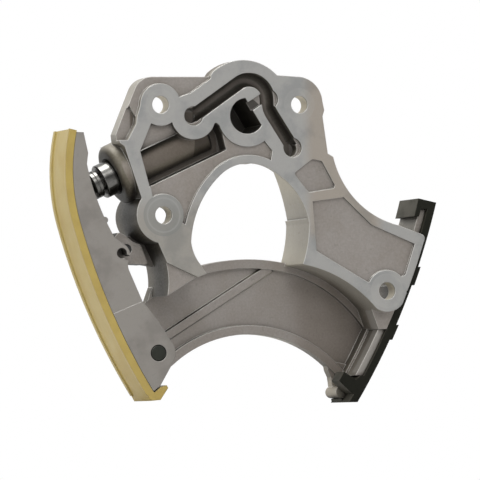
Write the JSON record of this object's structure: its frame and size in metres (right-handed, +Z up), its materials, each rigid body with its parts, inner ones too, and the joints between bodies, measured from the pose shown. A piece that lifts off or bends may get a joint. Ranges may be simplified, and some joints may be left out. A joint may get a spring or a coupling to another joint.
{
  "type": "timing chain tensioner",
  "caption": "Die-cast hydraulic timing chain tensioner with a sprung lined arm, an oil-fed piston and a fixed plastic guide rail.",
  "frame": {"origin": "midway between the two upper bolt holes, on the machined mating face", "axes": "+X to the right along the line of the two upper bolt holes, +Y away from the mating face into the casting, +Z up"},
  "size_m": [0.1581, 0.029, 0.1372],
  "materials": {
    "cast_aluminium": "die-cast, with machined faces",
    "lining_plastic": "smooth moulded, ochre yellow",
    "rail_plastic": "moulded, near black",
    "pin_steel": "dark oiled steel",
    "piston_steel": "ground and polished",
    "spring_steel": "drawn wire",
    "valve_steel": "pressed and hardened",
    "guide_plastic": "moulded"
  },
  "bodies": {
    "bracket": {"housing": "cast_aluminium", "guide_rail": "rail_plastic", "pivot_pin": "pin_steel", "check_valve_seat": "valve_steel", "check_ball_cage": "valve_steel", "piston_spring": "spring_steel", "check_ball_spring": "spring_steel"},
    "arm": {"tensioner_arm": "cast_aluminium", "arm_lining": "lining_plastic"},
    "plunger": {"piston": "piston_steel", "spring_guide": "guide_plastic"},
    "valve_ball": {"check_ball": "valve_steel"}
  },
  "joints": [
    {"name": "arm_pivot", "type": "hinge", "parent": "bracket", "child": "arm", "pos_m": [-0.0313, 0.012, -0.0983], "axis": [0, 1, 0], "range_deg": [-5, 5.8]},
    {"name": "piston_slide", "type": "slide", "parent": "bracket", "child": "plunger", "axis": [0.9135, 0, 0.4067], "range_m": [-0.0063, 0.0073], "deforming": ["piston_spring"]},
    {"name": "ball_lift", "type": "slide", "parent": "bracket", "child": "valve_ball", "axis": [-0.9135, 0, -0.4067], "range_m": [0, 0.0008], "deforming": ["check_ball_spring"]}
  ],
  "couplings": [
    {"joint": "piston_slide", "follows": "arm_pivot", "m_per_rad": 0.0708}
  ]
}
